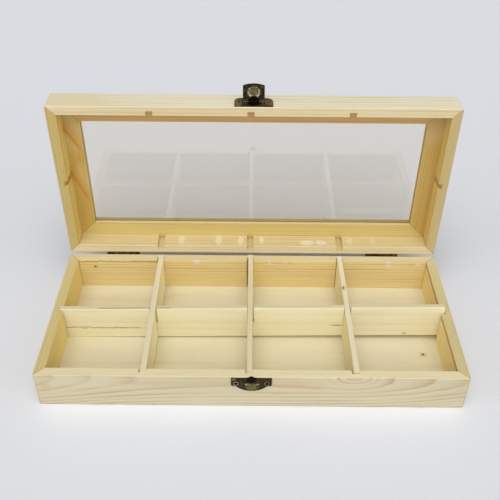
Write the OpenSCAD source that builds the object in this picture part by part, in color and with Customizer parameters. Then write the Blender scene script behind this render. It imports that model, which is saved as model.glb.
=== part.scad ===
// A hinged pine box with a glazed lid, an egg-crate of loose dividers and a hasp latch.
// +X is to the right, -Y is the front and +Z is up. The origin is the middle of the underside.
// The base and the lid are cut from one mitred box, so the dadoes for the dividers run on in the lid.
// Lid pieces are drawn shut, in the box's own frame, and lid_swing() opens them about the hinge pins.

/* [Base] */
// Length of the box, side to side
box_w = 380; // [320:1:460]
// Depth of the box, front to back
box_d = 168; // [145:1:230]
// Height of the base, table to rim
base_h = 39; // [34:0.5:60]
// Thickness of the base walls and of the lid's rim
wall_t = 9.3; // [8.5:0.1:13]
// Radius of the rounded outer edges
edge_r = 2.2; // [1:0.1:3]
// Radius of the outer edges at the seam, where the box was cut in two
seam_r = 0.6; // [0.3:0.1:1.2]
// Rounding of the inner edges and of the divider tops
ease_r = 0.6; // [0.2:0.1:1]

/* [Bottom panel] */
// Thickness of the bottom panel
panel_t = 3; // [2:0.5:5]
// How far the bottom panel reaches into the walls
rebate_w = 5; // [4.8:0.1:6.5]
// Gap round the edge of the bottom panel
panel_gap = 0.1; // [0.05:0.05:0.4]

/* [Dividers] */
// Thickness of the dividers
divider_t = 4.8; // [3.5:0.1:5.5]
// Height of the dividers
divider_h = 36.5; // [30:0.5:48]
// Distance between neighbouring cross dividers, middle to middle
cross_pitch = 93; // [70:1:100]
// How far the middle cross divider's dado lies left of the box's middle
cross_offset = 2.4; // [0:0.1:5]
// Width of the dadoes that hold the divider ends
dado_w = 6.6; // [6:0.1:8]
// Depth of the cross dividers' dadoes, in the front and back walls
dado_d = 4.7; // [3:0.1:5]
// Depth of the long divider's dadoes, in the side walls
side_dado_d = 3.7; // [3:0.1:5]
// Gap between a divider's end and the floor of its dado
end_gap = 0.8; // [0.5:0.1:1.5]
// Gap between a divider and the side or floor of the dado that it leans on
side_gap = 0.15; // [0.1:0.05:0.3]
// Width of the notches where the dividers cross
notch_w = 6.6; // [6.2:0.1:8]
// How far the long divider's notches lie right of the cross dividers
notch_lead = 0.5; // [0:0.1:0.5]
// Depth of the notches in the top of the long divider
long_notch_d = 18; // [14:0.5:22]
// Spare depth in the slots of the cross dividers
slot_slack = 2; // [0.5:0.1:4]
// How far the right end of the loosely dropped long divider rides above its seat
long_rise = 7; // [0:0.5:10]
// Share of its end play that the left cross divider's tilt takes up, with its back end high
left_tilt = 0.45; // [0:0.05:0.7]
// Share of its end play that the middle cross divider's tilt takes up
middle_tilt = 0.7; // [0:0.05:0.7]
// Share of its end play that the right cross divider's tilt takes up
right_tilt = 0; // [0:0.05:0.7]
// Share of its side play that the right cross divider is turned through, with its back end left
right_turn = 0.7; // [0:0.05:1]

/* [Lid] */
// Height of the lid, seam to top
lid_h = 27; // [25:0.5:40]
// Depth of the lid's rim below the glass frame
rim_depth = 18.5; // [14:0.5:19]
// Width of the frame's ledge inside the rim
ledge_w = 16; // [10:0.5:24]
// Thickness of the frame's inner lip, under the glass
lip_t = 2.5; // [1.5:0.1:3]
// Depth of the groove that holds the glass
groove_d = 5; // [3:0.1:8]
// Thickness of the glass
glass_t = 2; // [1.5:0.1:2.5]
// Gap between the glass and each side of its groove
glass_gap = 0.1; // [0.05:0.05:0.2]
// Gap between the edge of the glass and the floor of its groove
glass_edge_gap = 0.3; // [0.2:0.1:0.8]
// Gap between the two rims when the lid is shut
seam_gap = 0.3; // [0.1:0.1:0.6]
// Angle of the lid on the hinges' stops, in degrees from shut
lid_open = 90; // [80:1:100]

/* [Hinges] */
// Length of a hinge
hinge_len = 33; // [26:1:45]
// Distance from the end of the box to the near end of a hinge
hinge_inset = 38.5; // [20:0.5:50]
// Reach of a hinge leaf from the pin
leaf_reach = 13; // [10:0.5:16]
// Thickness of a hinge leaf
leaf_t = 0.7; // [0.6:0.05:0.9]
// Rounding of the corners of a hinge leaf
leaf_corner_r = 1.5; // [0.5:0.1:3]
// Outer radius of the hinge knuckles
knuckle_r = 1.5; // [1.4:0.1:2.5]
// Number of knuckles in a hinge
knuckles = 5; // [3:2:7]
// Gap between neighbouring knuckles
knuckle_gap = 0.2; // [0.1:0.05:0.4]
// Radius of the hinge pin
hinge_pin_r = 0.7; // [0.6:0.05:0.75]
// Running gap round the hinge pins and the hasp's pin
run_gap = 0.05; // [0.02:0.01:0.08]
// Reach of the stops on the base leaf, from the pin
stop_reach = 5.5; // [4.5:0.5:8]
// Gap between a stop and the open lid's leaf
stop_gap = 0.05; // [0.02:0.01:0.15]
// Distance between the two nails of a leaf
leaf_nail_pitch = 21; // [16:1:24]
// Height of the leaf's nails from the pin
leaf_nail_h = 8; // [6.5:0.5:9]

/* [Nails] */
// Radius of a nail's shank
nail_r = 0.6; // [0.5:0.05:0.8]
// Length of a nail's shank
nail_len = 7; // [5:0.5:7.5]
// Radius of a nail's head
nail_head_r = 1.4; // [1.1:0.1:1.6]
// Height of a nail's domed head
nail_head_h = 0.6; // [0.4:0.1:1]

/* [Latch] */
// Width of the two latch plates
plate_w = 35.4; // [30:0.2:42]
// Thickness of the latch plates
plate_t = 0.9; // [0.7:0.05:1.1]
// Height of the lid's latch plate
hasp_plate_h = 16; // [15:0.5:20]
// Distance of the lid's latch plate above the seam
hasp_plate_rise = 1.2; // [1:0.1:3]
// Rounding of the upper corners of the lid's latch plate
ear_r = 6.5; // [3:0.5:7.5]
// Rounding of the lower corners of the lid's latch plate and of the hasp's corners
latch_corner_r = 0.6; // [0.3:0.1:1]
// Distance of the catch plate below the base's rim
catch_drop = 0.8; // [0.4:0.1:1.5]
// Height of the catch plate at its ends
catch_end_h = 9.6; // [8:0.2:11]
// Height of the catch plate in its middle
catch_mid_h = 16; // [14:0.2:18]
// Radius of the catch plate's curved lower edge
catch_belly_r = 18; // [16:0.5:24]
// Rounding of the corners of the catch plate
catch_corner_r = 1.4; // [0.5:0.1:3]
// Width of the pad embossed in the catch plate below its knob
pad_w = 10.5; // [8:0.1:12]
// Height of the pad
pad_h = 9.4; // [7:0.2:10]
// How far the pad stands proud of the catch plate
pad_rise = 0.2; // [0.1:0.05:0.25]
// Width of the plain border left below the pad
pad_border = 0.7; // [0.4:0.1:1.5]
// Distance of a latch plate's nails from its middle
plate_nail_x = 13.6; // [12.5:0.1:15]
// Distance of the catch plate's nails below its top edge
catch_nail_drop = 6.8; // [4:0.2:7.5]
// Distance of the lid plate's nails above its lower edge
hasp_nail_rise = 8.6; // [5:0.2:10]
// Radius of the catch's knob
knob_r = 4.1; // [3:0.1:4.2]
// Reach of the knob's face from the box
knob_reach = 3.2; // [2.9:0.1:3.5]
// Thickness of the knob's head
knob_t = 1.2; // [0.8:0.1:1.3]
// Radius of the knob's neck
knob_neck_r = 1.6; // [1.2:0.1:1.8]
// Distance of the knob's middle below the base's rim
knob_drop = 0.8; // [0:0.1:1.5]
// Height of the hasp's pin above the seam
hasp_axis_rise = 8; // [7.5:0.1:10]
// Radius of the hasp's knuckle and of the barrels beside it
barrel_r = 1.5; // [1.3:0.05:1.6]
// Radius of the hasp's pin
hasp_pin_r = 0.6; // [0.5:0.05:0.7]
// Width over the two barrels of the lid's plate
barrel_w = 21; // [18:0.5:23]
// Width of the hasp's neck
neck_w = 10; // [8:0.5:11]
// Width of the hasp
hasp_w = 19.7; // [18:0.1:22]
// Distance from the hasp's pin to its shoulders
shoulder_d = 2.4; // [2.2:0.1:4.6]
// Length of the hasp from its pin to its tip
hasp_len = 17.4; // [16.5:0.1:20]
// Rise of the hasp's curved end
hasp_bow = 1.8; // [1:0.1:3]
// Thickness of the hasp's sheet
hasp_t = 0.8; // [0.6:0.05:0.9]
// Width of the pocket pressed in the hasp
pocket_w = 11.4; // [10:0.1:13]
// Height of the pocket
pocket_h = 10; // [9.6:0.1:11]
// Depth of the pocket inside
pocket_d = 2.7; // [2.6:0.1:3.5]
// Corner radius of the pocket at the hasp's tip
pocket_r = 4; // [1.5:0.1:4.5]
// Corner radius of the pocket at the pin's end
pocket_foot_r = 1.2; // [0.5:0.1:4.5]
// Slope of the pocket's walls, as a set-back of its floor
pocket_draft = 0.9; // [0.4:0.1:1.2]
// Gap between moving latch pieces and what they pass
latch_gap = 0.3; // [0.2:0.05:0.4]
// Angle of the hasp at rest, in degrees from hanging shut
hasp_open = 95; // [60:1:140]

/* [Hidden] */
$fn = 64;

pine = [0.87, 0.79, 0.6];
inner_pine = [0.86, 0.75, 0.5];
bronze = [0.3, 0.27, 0.2];
clear_glass = [0.85, 0.92, 0.9, 0.35];
over = 1;                                   // how far a cutter runs past the face it cuts

inner_w = box_w - 2 * wall_t;
inner_d = box_d - 2 * wall_t;
rail_w = wall_t + ledge_w;                  // full width of a lid rail
seam_z = base_h + seam_gap;                 // the lid's rim when shut
hinge_y = box_d / 2 + knuckle_r;
hinge_z = base_h + seam_gap / 2;
hinge_x = box_w / 2 - hinge_inset - hinge_len / 2;
front_y = -box_d / 2;
hasp_axis_y = front_y - barrel_r - latch_gap / 2;
hasp_axis_z = seam_z + hasp_axis_rise;
knob_z = base_h - knob_drop;
tab_r = knob_drop + seam_gap + hasp_plate_rise - latch_gap;   // ends short of the lid's plate

// where the dadoes for the cross dividers lie, and where the dividers stand in them
cross_dado_x = [for (i = [-1:1]) i * cross_pitch - cross_offset];
lean = (dado_w - divider_t) / 2 - side_gap;
function cross_x(i) = cross_dado_x[i] + lean;

// the long divider's left foot is on the bottom panel and its right end rides high
long_len = inner_w + 2 * (side_dado_d - end_gap);
cross_len = inner_d + 2 * (dado_d - end_gap);
long_tilt = asin(long_rise / long_len);
long_foot_x = -long_len / 2 + divider_h * sin(long_tilt) / 2;
seat_z = panel_t;
slot_h = divider_h - long_notch_d + slot_slack;
// height of the long divider's notch floor at a place along the box
function notch_floor(x) = seat_z + (divider_h - long_notch_d) / cos(long_tilt)
  + (x - long_foot_x) * tan(long_tilt);

// a cross divider tilts about its front foot until its top front corner leans on the dado's floor
cross_tilts = [left_tilt, middle_tilt, right_tilt];
cross_turns = [0, 0, right_turn];
function cross_tilt(i) = asin(cross_tilts[i] * 2 * end_gap / divider_h);
function cross_turn(i) = asin(cross_turns[i] * 2 * lean / cross_len);
function cross_y(i) = -inner_d / 2 - dado_d + (cross_tilts[i] > 0 ? side_gap : end_gap)
  + divider_h * sin(cross_tilt(i));
// the place along the box where a cross divider meets the long divider
function meeting_x(i) = cross_x(i) - (lean - cross_y(i)) * tan(cross_turn(i));
// how far a height in the slot lies from the front foot, measured along the cross divider
function slot_y(i, y, z) = (y - cross_y(i) + z * sin(cross_tilt(i))) / cos(cross_tilt(i));
// a cross divider stands on the bottom panel until the notch under its slot carries it
function cross_z(i) = max(seat_z, notch_floor(meeting_x(i) + divider_t / 2) + side_gap
  - slot_h * cos(cross_tilt(i)) - slot_y(i, lean - divider_t / 2, slot_h) * sin(cross_tilt(i)));
// how far a notch's left side lies from the long divider's foot, measured along the divider
function notch_x(i) = (meeting_x(i) + notch_lead - long_foot_x) / cos(long_tilt)
  + (divider_h - long_notch_d / 2) * tan(long_tilt) - notch_w / 2;

// ---- shared forms ----

// the waste outside a rounded corner at [x, y]; sx and sy point into the section
module corner_waste(x, y, sx, sy, r) {
  difference() {
    translate([x + sx * r / 2 - sx * over / 2, y + sy * r / 2 - sy * over / 2])
      square([r + over, r + over], center = true);
    translate([x + sx * r, y + sy * r]) circle(r);
  }
}

// a rectangle from [x0, y0] to [x1, y1] with a radius for each corner, from the lower left round
module eased_rect(x0, y0, x1, y1, radii) {
  difference() {
    translate([x0, y0]) square([x1 - x0, y1 - y0]);
    if (radii[0] > 0) corner_waste(x0, y0, 1, 1, radii[0]);
    if (radii[1] > 0) corner_waste(x1, y0, -1, 1, radii[1]);
    if (radii[2] > 0) corner_waste(x1, y1, -1, -1, radii[2]);
    if (radii[3] > 0) corner_waste(x0, y1, 1, -1, radii[3]);
  }
}

// runs a section, drawn with x into the box and y up, along X for a length about the middle
module run_along_x(len) {
  translate([-len / 2, 0, 0]) rotate([90, 0, 90]) linear_extrude(len) children();
}

// the plan of a mitred side of a rounded box: outer face on y = 0, inner side towards +Y
module mitred_plan(len, width) {
  intersection() {
    polygon([[-len / 2, 0], [len / 2, 0], [len / 2 - width, width], [-len / 2 + width, width]]);
    eased_rect(-len / 2, 0, len / 2, width + edge_r, [edge_r, edge_r, 0, 0]);
  }
}

// cuts the dadoes for dividers whose middles are at the given places along a wall
module cut_dadoes(places, depth, z0, z1) {
  for (x = places)
    translate([x - dado_w / 2, wall_t - depth, z0]) cube([dado_w, depth + over, z1 - z0]);
}

// places a side that is drawn as the front one
module to_front() { translate([0, -box_d / 2, 0]) children(); }
module to_back() { rotate(180) translate([0, -box_d / 2, 0]) children(); }
module to_left() { rotate(-90) translate([0, -box_w / 2, 0]) children(); }
module to_right() { rotate(90) translate([0, -box_w / 2, 0]) children(); }

module lid_swing() {
  translate([0, hinge_y, hinge_z]) rotate([-lid_open, 0, 0]) translate([0, -hinge_y, -hinge_z])
    children();
}

module hasp_swing() {
  lid_swing()
    translate([0, hasp_axis_y, hasp_axis_z]) rotate([-hasp_open, 0, 0]) children();
}

// ---- nails ----

// a domed nail whose head sits on z = 0 and whose shank runs down
module nail() {
  dome_r = (nail_head_r * nail_head_r + nail_head_h * nail_head_h) / (2 * nail_head_h);
  rotate_extrude() intersection() {
    translate([0, nail_head_h - dome_r]) circle(dome_r);
    square([nail_head_r + over, nail_head_h]);
  }
  translate([0, 0, -nail_len]) cylinder(r = nail_r, h = nail_len);
}

module nail_hole() {
  translate([0, 0, -nail_len - over / 2]) cylinder(r = nail_r + run_gap, h = nail_len + over);
}

// nails stand on the hinge leaves: [x, z] from the pin, with the head out of the back
module hinge_nail_places(up) {
  for (side = [-1, 1], end = [-1, 1])
    translate([side * hinge_x + end * leaf_nail_pitch / 2, box_d / 2 + leaf_t,
               hinge_z + up * leaf_nail_h])
      rotate([-90, 0, 0]) children();
}

// nails through a latch plate, with the head out of the front
module plate_nail_places(z) {
  for (side = [-1, 1])
    translate([side * plate_nail_x, front_y - plate_t, z]) rotate([90, 0, 0]) children();
}

catch_nail_z = base_h - catch_drop - catch_nail_drop;
hasp_nail_z = seam_z + hasp_plate_rise + hasp_nail_rise;

// ---- base ----

module base_side(len, dado_places, depth) {
  difference() {
    intersection() {
      run_along_x(len) difference() {
        eased_rect(0, 0, wall_t, base_h, [edge_r, 0, ease_r, seam_r]);
        translate([wall_t - rebate_w, -over]) square([rebate_w + over, panel_t + over]);
      }
      linear_extrude(base_h) mitred_plan(len, wall_t);
    }
    cut_dadoes(dado_places, depth, panel_t, base_h + over);
  }
}

module front_wall() color(pine) difference() {
  to_front() base_side(box_w, cross_dado_x, dado_d);
  plate_nail_places(catch_nail_z) nail_hole();
}

module back_wall() color(pine) difference() {
  to_back() base_side(box_w, [for (x = cross_dado_x) -x], dado_d);
  hinge_nail_places(-1) nail_hole();
}

module left_wall() color(pine) to_left() base_side(box_d, [0], side_dado_d);
module right_wall() color(pine) to_right() base_side(box_d, [0], side_dado_d);

module bottom_panel() color(inner_pine) {
  w = inner_w + 2 * (rebate_w - panel_gap);
  d = inner_d + 2 * (rebate_w - panel_gap);
  translate([-w / 2, -d / 2, 0]) cube([w, d, panel_t]);
}

// ---- dividers ----

// the long divider lies flat with its left foot at the origin, then tilts about that foot
module long_divider() color(pine)
  translate([long_foot_x, lean, seat_z]) rotate([0, -long_tilt, 0]) difference() {
    translate([long_len / 2, 0, 0]) run_along_x(long_len)
      eased_rect(-divider_t / 2, 0, divider_t / 2, divider_h, [0, 0, ease_r, ease_r]);
    for (i = [0:2])
      translate([notch_x(i), -divider_t / 2 - over, divider_h - long_notch_d])
        cube([notch_w, divider_t + 2 * over, long_notch_d + over]);
  }

// a cross divider lies flat with its front foot at the origin, then turns and tilts about that foot
module cross_divider(i) color(pine)
  translate([cross_x(i), cross_y(i), cross_z(i)]) rotate(cross_turn(i)) rotate([cross_tilt(i), 0, 0])
    difference() {
      translate([0, cross_len / 2, 0]) rotate(90) run_along_x(cross_len)
        eased_rect(-divider_t / 2, 0, divider_t / 2, divider_h, [0, 0, ease_r, ease_r]);
      translate([-divider_t / 2 - over, slot_y(i, lean, slot_h / 2) - notch_w / 2, -over])
        cube([divider_t + 2 * over, notch_w, slot_h + over]);
    }

module cross_divider_left() { cross_divider(0); }
module cross_divider_middle() { cross_divider(1); }
module cross_divider_right() { cross_divider(2); }

// ---- lid ----

glass_z = rim_depth + lip_t + glass_gap;

// an L-shaped rail: the rim stands round the frame that holds the glass
module lid_side(len, dado_places, depth) {
  groove_h = glass_t + 2 * glass_gap;
  difference() {
    intersection() {
      run_along_x(len) difference() {
        union() {
          eased_rect(0, 0, wall_t, lid_h, [seam_r, ease_r, 0, edge_r]);
          eased_rect(wall_t / 2, rim_depth, rail_w, lid_h, [0, ease_r, ease_r, 0]);
        }
        translate([rail_w - groove_d, rim_depth + lip_t]) square([groove_d + over, groove_h]);
      }
      linear_extrude(lid_h) mitred_plan(len, rail_w);
    }
    cut_dadoes(dado_places, depth, -over, rim_depth);
  }
}

module lid_front_rail() color(pine) lid_swing() difference() {
  translate([0, 0, seam_z]) to_front() lid_side(box_w, cross_dado_x, dado_d);
  plate_nail_places(hasp_nail_z) nail_hole();
}

module lid_back_rail() color(pine) lid_swing() difference() {
  translate([0, 0, seam_z]) to_back() lid_side(box_w, [for (x = cross_dado_x) -x], dado_d);
  hinge_nail_places(1) nail_hole();
}

module lid_left_rail() color(pine) lid_swing()
  translate([0, 0, seam_z]) to_left() lid_side(box_d, [0], side_dado_d);
module lid_right_rail() color(pine) lid_swing()
  translate([0, 0, seam_z]) to_right() lid_side(box_d, [0], side_dado_d);

module glass_pane() color(clear_glass) lid_swing() {
  w = box_w - 2 * (rail_w - groove_d + glass_edge_gap);
  d = box_d - 2 * (rail_w - groove_d + glass_edge_gap);
  translate([-w / 2, -d / 2, seam_z + glass_z]) cube([w, d, glass_t]);
}

// ---- hinges ----

knuckle_len = (hinge_len - (knuckles - 1) * knuckle_gap) / knuckles;
function knuckle_x(i) = -hinge_len / 2 + i * (knuckle_len + knuckle_gap);

// one leaf with its knuckles, on the wall's face y = 0, rising from the pin at z = 0
module leaf(own) {
  relief = knuckle_r + knuckle_gap;         // the leaf is cut back here for the other knuckles
  difference() {
    union() {
      translate([0, leaf_t, 0]) rotate([90, 0, 0]) linear_extrude(leaf_t) {
        eased_rect(-hinge_len / 2, relief, hinge_len / 2, leaf_reach,
                   [0, 0, leaf_corner_r, leaf_corner_r]);
        for (i = own) translate([knuckle_x(i), 0]) square([knuckle_len, relief + over]);
      }
      for (i = own)
        translate([knuckle_x(i), knuckle_r, 0]) rotate([0, 90, 0])
          cylinder(r = knuckle_r, h = knuckle_len);
    }
    translate([0, knuckle_r, 0]) rotate([0, 90, 0])
      cylinder(r = hinge_pin_r + run_gap, h = hinge_len + 2 * over, center = true);
    for (end = [-1, 1])
      translate([end * leaf_nail_pitch / 2, leaf_t, leaf_nail_h]) rotate([-90, 0, 0]) nail_hole();
  }
}

// lips on the end knuckles of the base leaf: the open lid's leaf lies on them
module leaf_stops() {
  for (i = [0, knuckles - 1])
    translate([knuckle_x(i), knuckle_r, 0]) rotate([-lid_open, 0, 0])
      translate([0, leaf_t + stop_gap - knuckle_r, hinge_pin_r + 2 * run_gap])
        cube([knuckle_len, leaf_t, stop_reach - hinge_pin_r - 2 * run_gap]);
}

module base_leaf(side) color(bronze)
  translate([side * hinge_x, box_d / 2, hinge_z]) {
    mirror([0, 0, 1]) leaf([0:2:knuckles - 1]);
    leaf_stops();
  }

module lid_leaf(side) color(bronze) lid_swing()
  translate([side * hinge_x, box_d / 2, hinge_z]) leaf([1:2:knuckles - 2]);

// a pin with a low head at each end, held by the base leaf
module hinge_pin(side) color(bronze)
  translate([side * hinge_x - hinge_len / 2, hinge_y, hinge_z]) rotate([0, 90, 0]) {
    cylinder(r = hinge_pin_r, h = hinge_len);
    for (end = [0, 1]) translate([0, 0, end * hinge_len]) mirror([0, 0, 1 - end])
      rotate_extrude() eased_rect(0, 0, knuckle_r - leaf_t / 2, leaf_t / 2, [0, 0, leaf_t / 4, 0]);
  }

module hinge_base_leaf_left() { base_leaf(-1); }
module hinge_base_leaf_right() { base_leaf(1); }
module hinge_lid_leaf_left() { lid_leaf(-1); }
module hinge_lid_leaf_right() { lid_leaf(1); }
module hinge_pin_left() { hinge_pin(-1); }
module hinge_pin_right() { hinge_pin(1); }
module base_hinge_nails() color(bronze) hinge_nail_places(-1) nail();
module lid_hinge_nails() color(bronze) lid_swing() hinge_nail_places(1) nail();

// ---- latch ----

// extrudes a front view, drawn with x right and y up, forwards from the box's front face
module on_front(thickness) {
  translate([0, front_y, 0]) rotate([90, 0, 0]) linear_extrude(thickness) children();
}

// a crescent with two ears, a tab and a pad at its middle and a headed knob on the tab
module catch_plate() color(bronze) {
  top = base_h - catch_drop;
  foot = top - catch_mid_h;
  ear_corners = [catch_corner_r, catch_corner_r, catch_corner_r, catch_corner_r];
  difference() {
    on_front(plate_t) {
      eased_rect(-plate_w / 2, top - catch_end_h, plate_w / 2, top, ear_corners);
      intersection() {
        translate([0, foot + catch_belly_r]) circle(catch_belly_r);
        translate([-plate_w / 2, foot]) square([plate_w, catch_mid_h]);
      }
      translate([0, knob_z]) circle(tab_r);
    }
    plate_nail_places(catch_nail_z) nail_hole();
  }
  on_front(plate_t + pad_rise) intersection() {
    translate([0, foot + catch_belly_r]) circle(catch_belly_r - pad_border);
    eased_rect(-pad_w / 2, foot, pad_w / 2, foot + pad_h, [0, 0, catch_corner_r, catch_corner_r]);
  }
  translate([0, front_y, knob_z]) rotate([90, 0, 0]) {
    cylinder(r = knob_neck_r, h = knob_reach - knob_t / 2);
    rotate_extrude()
      eased_rect(0, knob_reach - knob_t, knob_r, knob_reach, [0, knob_t / 3, knob_t / 2, 0]);
  }
}

// the lid's plate has a window behind the hasp's knuckle and carries a barrel on each side of it
module hasp_plate() color(bronze) lid_swing() {
  foot = seam_z + hasp_plate_rise;
  slot_w = neck_w + 2 * latch_gap;
  slot_half_h = barrel_r + latch_gap;
  difference() {
    on_front(plate_t) difference() {
      eased_rect(-plate_w / 2, foot, plate_w / 2, foot + hasp_plate_h,
                 [latch_corner_r, latch_corner_r, ear_r, ear_r]);
      translate([-slot_w / 2, hasp_axis_z - slot_half_h]) square([slot_w, 2 * slot_half_h]);
    }
    plate_nail_places(hasp_nail_z) nail_hole();
    hasp_bore();
  }
  for (side = [-1, 1]) difference() {
    translate([side * (slot_w + barrel_w) / 4, hasp_axis_y, hasp_axis_z]) rotate([0, 90, 0])
      cylinder(r = barrel_r, h = (barrel_w - slot_w) / 2, center = true);
    hasp_bore();
  }
}

module hasp_bore() {
  translate([0, hasp_axis_y, hasp_axis_z]) rotate([0, 90, 0])
    cylinder(r = hasp_pin_r + run_gap, h = barrel_w + 2 * over, center = true);
}

module hasp_pin() color(bronze) lid_swing()
  translate([0, hasp_axis_y, hasp_axis_z]) rotate([0, 90, 0])
    cylinder(r = hasp_pin_r, h = barrel_w, center = true);

// a pressed pocket from its mouth at z = 0 to its floor, with sloping walls, grown by a margin
module pocket_form(grow) {
  w = pocket_w / 2 + grow;
  h = pocket_h / 2 + grow;
  tip_r = pocket_r + grow;
  foot_r = pocket_foot_r + grow;
  depth = pocket_d + grow;
  intersection() {
    linear_extrude(depth) eased_rect(-w, -h, w, h, [tip_r, tip_r, foot_r, foot_r]);
    rotate([90, 0, 0]) linear_extrude(2 * h, center = true) sloped_section(w, depth);
    rotate([90, 0, 90]) linear_extrude(2 * w, center = true) sloped_section(h, depth);
  }
}

// the section of a pocket: half_w wide at its mouth, with a set-back floor and eased corners
module sloped_section(half_w, depth) {
  floor_w = half_w - pocket_draft;
  difference() {
    polygon([[-half_w, 0], [half_w, 0], [floor_w, depth], [-floor_w, depth]]);
    for (side = [-1, 1]) corner_waste(side * floor_w, depth, -side, -1, hasp_t / 2);
  }
}

// the hasp hangs from its pin along -Z, with its outer face towards -Y
module hasp() color(bronze) hasp_swing() {
  bow_r = (hasp_w * hasp_w / 4 + hasp_bow * hasp_bow) / (2 * hasp_bow);
  pocket_z = hasp_axis_z - knob_z;          // the pocket shuts over the knob
  corners = [latch_corner_r, latch_corner_r, latch_corner_r, latch_corner_r];
  difference() {
    union() {
      translate([0, hasp_t / 2, 0]) rotate([90, 0, 0]) linear_extrude(hasp_t) {
        translate([-neck_w / 2, -shoulder_d - over]) square([neck_w, shoulder_d + over]);
        intersection() {
          eased_rect(-hasp_w / 2, -hasp_len, hasp_w / 2, -shoulder_d, corners);
          translate([0, bow_r - hasp_len]) circle(bow_r);
        }
      }
      translate([0, hasp_t / 2, -pocket_z]) rotate([90, 0, 0]) pocket_form(hasp_t);
      rotate([0, 90, 0]) cylinder(r = barrel_r, h = neck_w, center = true);
    }
    translate([0, hasp_t / 2, -pocket_z]) rotate([90, 0, 0]) pocket_form(0);
    rotate([0, 90, 0]) cylinder(r = hasp_pin_r + run_gap, h = neck_w + 2 * over, center = true);
  }
}

module catch_nails() color(bronze) plate_nail_places(catch_nail_z) nail();
module hasp_plate_nails() color(bronze) lid_swing() plate_nail_places(hasp_nail_z) nail();

front_wall();
back_wall();
left_wall();
right_wall();
bottom_panel();
long_divider();
cross_divider_left();
cross_divider_middle();
cross_divider_right();
lid_front_rail();
lid_back_rail();
lid_left_rail();
lid_right_rail();
glass_pane();
hinge_base_leaf_left();
hinge_base_leaf_right();
hinge_lid_leaf_left();
hinge_lid_leaf_right();
hinge_pin_left();
hinge_pin_right();
base_hinge_nails();
lid_hinge_nails();
catch_plate();
catch_nails();
hasp_plate();
hasp_plate_nails();
hasp_pin();
hasp();
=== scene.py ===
# %% [markdown]
# # A pine tea box in Blender
#
# The box stands open: a mitred base with loose halved dividers, and a glazed lid held upright by
# two stop hinges. Its solids come from the packed frame at their real size and are never moved.
# This script gives them their finish: pale pine that is cut from boards with growth rings, clear
# glass, and dull bronze for the latch and the hinges.

# %% Load the frame
import math
import bpy
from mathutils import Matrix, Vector


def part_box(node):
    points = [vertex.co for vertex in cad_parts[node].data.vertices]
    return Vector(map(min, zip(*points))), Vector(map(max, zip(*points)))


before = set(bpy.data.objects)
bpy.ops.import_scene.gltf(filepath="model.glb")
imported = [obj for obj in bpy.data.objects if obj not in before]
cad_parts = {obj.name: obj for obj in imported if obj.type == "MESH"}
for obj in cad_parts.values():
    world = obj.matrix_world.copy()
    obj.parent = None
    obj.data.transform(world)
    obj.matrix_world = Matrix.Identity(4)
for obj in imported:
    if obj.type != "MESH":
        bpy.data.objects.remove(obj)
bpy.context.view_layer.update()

# %% [markdown]
# ## The camera
#
# The viewer stands in front of the box and looks down on it. The distance is short, so the far
# side looks much smaller than the near one. The lens sets how wide the view is: 51.6 mm in front
# of a 36 mm sensor. The camera could be aimed by hand, but three angles in degrees are easier to
# correct and give the same view each time.

# %% Place the camera
EYE = (-0.0009, -0.5005, 0.5100)
TILT = (51.55, -0.31, 0.40)
LENS = 51.6
SENSOR = 36
NEAREST = 0.01


def place_camera():
    lens = bpy.data.cameras.new("camera")
    lens.lens = LENS
    lens.sensor_width = SENSOR
    lens.clip_start = NEAREST
    camera = bpy.data.objects.new("camera", lens)
    camera.location = EYE
    camera.rotation_euler = [math.radians(angle) for angle in TILT]
    bpy.context.scene.collection.objects.link(camera)
    bpy.context.scene.camera = camera
    return camera


camera = place_camera()
print("camera at", tuple(camera.location), "lens", LENS)

# %% [markdown]
# ## Writing shaders as sums
#
# A shader is a web of small nodes. Drawn by hand it is quickly unreadable, so here a socket is
# wrapped in a class that knows how to add, multiply and compare. `ring * 0.5 + 1` then makes the
# two Math nodes it needs. Vectors go through Vector Math, colours through Mix, because a Math node
# would turn a colour grey.

# %% Wrap a socket in a class
class Wire:
    """An output socket that can be used in a sum."""

    def __init__(self, shader, socket):
        self.shader = shader
        self.socket = socket

    def math(self, operation, *values, output=0):
        """A Math node, or a Vector Math node where this socket gives a vector."""
        kind = "ShaderNodeVectorMath" if self.socket.type == "VECTOR" else "ShaderNodeMath"
        return self.shader.node(kind, {"operation": operation}, *values, output=output)

    def __add__(self, other):
        return self.math("ADD", self, other)

    def __sub__(self, other):
        return self.math("SUBTRACT", self, other)

    def __rsub__(self, other):
        return self.math("SUBTRACT", other, self)

    def __mul__(self, other):
        return self.math("MULTIPLY", self, other)

    def __truediv__(self, other):
        return self.math("DIVIDE", self, other)

    def __pow__(self, other):
        return self.math("POWER", self, other)

    def __gt__(self, other):
        return self.math("GREATER_THAN", self, other)

    __radd__ = __add__
    __rmul__ = __mul__

    def size(self):
        """The number or the vector without its signs."""
        return self.math("ABSOLUTE", self)

    def length(self):
        return self.math("LENGTH", self, output="Value")

    def dot(self, other):
        return self.math("DOT_PRODUCT", self, other, output="Value")

    def axes(self):
        """The three numbers of a vector, by the names of its axes."""
        split = self.shader.node("ShaderNodeSeparateXYZ", {}, self).socket.node
        return {output.name: Wire(self.shader, output) for output in split.outputs}

    def smooth(self, low, high):
        """0 below low, 1 above high, and a soft step between them."""
        settings = {"interpolation_type": "SMOOTHSTEP"}
        return self.shader.node("ShaderNodeMapRange", settings, self, low, high, 0, 1)

    def toned(self, factor):
        """A colour with a factor on each of its red, green and blue."""
        return self.shader.node("ShaderNodeVectorMath", {"operation": "MULTIPLY"}, self, factor)


print("a wire also knows:", [name for name in vars(Wire) if not name.startswith("__")])

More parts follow.
